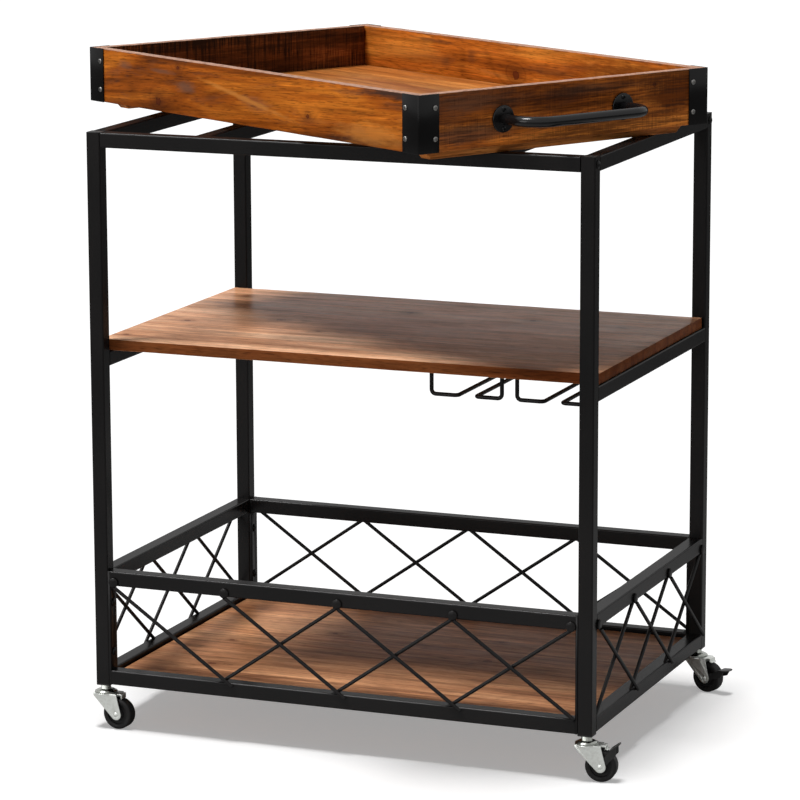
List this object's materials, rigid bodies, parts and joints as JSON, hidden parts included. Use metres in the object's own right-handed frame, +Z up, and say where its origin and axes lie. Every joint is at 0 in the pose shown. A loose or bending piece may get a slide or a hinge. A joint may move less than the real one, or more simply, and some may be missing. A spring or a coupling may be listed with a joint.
{
  "type": "bar cart on wheels",
  "caption": "Bar cart with a black square-tube frame, wooden shelves, a lattice gallery, a stemware rack, swivel casters and a loose wooden tray lying turned on top.",
  "frame": {"origin": "on the floor under the middle of the object's box, which is also the middle of the tray", "axes": "+X along the cart's long side towards the end with the stemware rack, -Y towards the front, +Z up"},
  "size_m": [0.8746, 0.785, 0.899],
  "materials": {
    "black_frame": "satin powder coat",
    "shelf_wood": "satin lacquer over weathered wood",
    "dark_wood": "satin lacquer over dark weathered wood",
    "tray_wood": "satin lacquer over sawn wood",
    "tray_floor_wood": "satin lacquer over light wood",
    "zinc": "zinc plated",
    "screw_steel": "bright",
    "wheel_rubber": "matte",
    "black_plastic": "matte"
  },
  "bodies": {
    "frame": {"post_front_left": "black_frame", "post_front_right": "black_frame", "post_back_left": "black_frame", "post_back_right": "black_frame", "post_caps": "black_plastic", "top_end_rails": "black_frame", "shelf_rails": "black_frame", "gallery_end_rails": "black_frame", "bottom_end_rails": "black_frame", "top_rail_front": "black_frame", "top_rail_back": "black_frame", "rail_plugs": "black_frame", "cross_bar_left": "black_frame", "cross_bar_right": "black_frame", "gallery_rail_front": "black_frame", "gallery_rail_back": "black_frame", "bottom_rail_front": "black_frame", "bottom_rail_back": "black_frame", "gallery_plates": "black_frame", "lattice_front": "black_frame", "lattice_back": "black_frame", "lattice_left": "black_frame", "lattice_right": "black_frame", "lattice_discs": "black_frame", "frame_bolts": "black_frame", "middle_shelf": "shelf_wood", "lower_shelf": "dark_wood", "shelf_tabs": "black_frame", "shelf_screws": "screw_steel", "stem_rack_left": "black_frame", "stem_rack_right": "black_frame", "rack_straps": "black_frame", "caster_inserts": "black_plastic", "caster_stems": "zinc", "caster_balls": "zinc"},
    "tray": {"tray_floor": "tray_floor_wood", "tray_wall_front": "tray_wood", "tray_wall_back": "tray_wood", "tray_wall_left": "dark_wood", "tray_wall_right": "dark_wood", "tray_battens": "tray_wood", "tray_corners": "black_frame", "corner_screws": "screw_steel", "tray_handle_left": "black_frame", "tray_handle_right": "black_frame", "handle_screws": "screw_steel"},
    "caster_front_left": {"fork_front_left": "zinc", "axle_front_left": "zinc"},
    "roller_front_left": {"wheel_front_left": "wheel_rubber"},
    "caster_front_right": {"fork_front_right": "zinc", "axle_front_right": "zinc"},
    "roller_front_right": {"wheel_front_right": "wheel_rubber"},
    "brake_front_right": {"brake_lever_front": "zinc"},
    "caster_back_left": {"fork_back_left": "zinc", "axle_back_left": "zinc"},
    "roller_back_left": {"wheel_back_left": "wheel_rubber"},
    "caster_back_right": {"fork_back_right": "zinc", "axle_back_right": "zinc"},
    "roller_back_right": {"wheel_back_right": "wheel_rubber"},
    "brake_back_right": {"brake_lever_back": "zinc"}
  },
  "joints": [
    {"name": "tray_lift", "type": "slide", "parent": "frame", "child": "tray", "axis": [0, 0, 1], "range_m": [0, 0.15]},
    {"name": "swivel_front_left", "type": "hinge", "parent": "frame", "child": "caster_front_left", "pos_m": [-0.319, -0.251, 0.05], "axis": [0, 0, 1], "continuous": true},
    {"name": "roll_front_left", "type": "hinge", "parent": "caster_front_left", "child": "roller_front_left", "pos_m": [-0.29903, -0.25205, 0.021], "axis": [0.0523, 0.9986, 0], "continuous": true},
    {"name": "swivel_front_right", "type": "hinge", "parent": "frame", "child": "caster_front_right", "pos_m": [0.371, -0.251, 0.05], "axis": [0, 0, 1], "continuous": true},
    {"name": "roll_front_right", "type": "hinge", "parent": "caster_front_right", "child": "roller_front_right", "pos_m": [0.39089, -0.24891, 0.021], "axis": [-0.1045, 0.9945, 0], "continuous": true},
    {"name": "press_brake_front_right", "type": "hinge", "parent": "caster_front_right", "child": "brake_front_right", "pos_m": [0.39089, -0.24891, 0.021], "axis": [-0.1045, 0.9945, 0], "range_deg": [0, 30]},
    {"name": "swivel_back_left", "type": "hinge", "parent": "frame", "child": "caster_back_left", "pos_m": [-0.319, 0.219, 0.05], "axis": [0, 0, 1], "continuous": true},
    {"name": "roll_back_left", "type": "hinge", "parent": "caster_back_left", "child": "roller_back_left", "pos_m": [-0.29919, 0.22178, 0.021], "axis": [-0.1392, 0.9903, 0], "continuous": true},
    {"name": "swivel_back_right", "type": "hinge", "parent": "frame", "child": "caster_back_right", "pos_m": [0.371, 0.219, 0.05], "axis": [0, 0, 1], "continuous": true},
    {"name": "roll_back_right", "type": "hinge", "parent": "caster_back_right", "child": "roller_back_right", "pos_m": [0.39022, 0.21349, 0.021], "axis": [0.2756, 0.9613, 0], "continuous": true},
    {"name": "press_brake_back_right", "type": "hinge", "parent": "caster_back_right", "child": "brake_back_right", "pos_m": [0.39022, 0.21349, 0.021], "axis": [0.2756, 0.9613, 0], "range_deg": [-30, 0]}
  ]
}
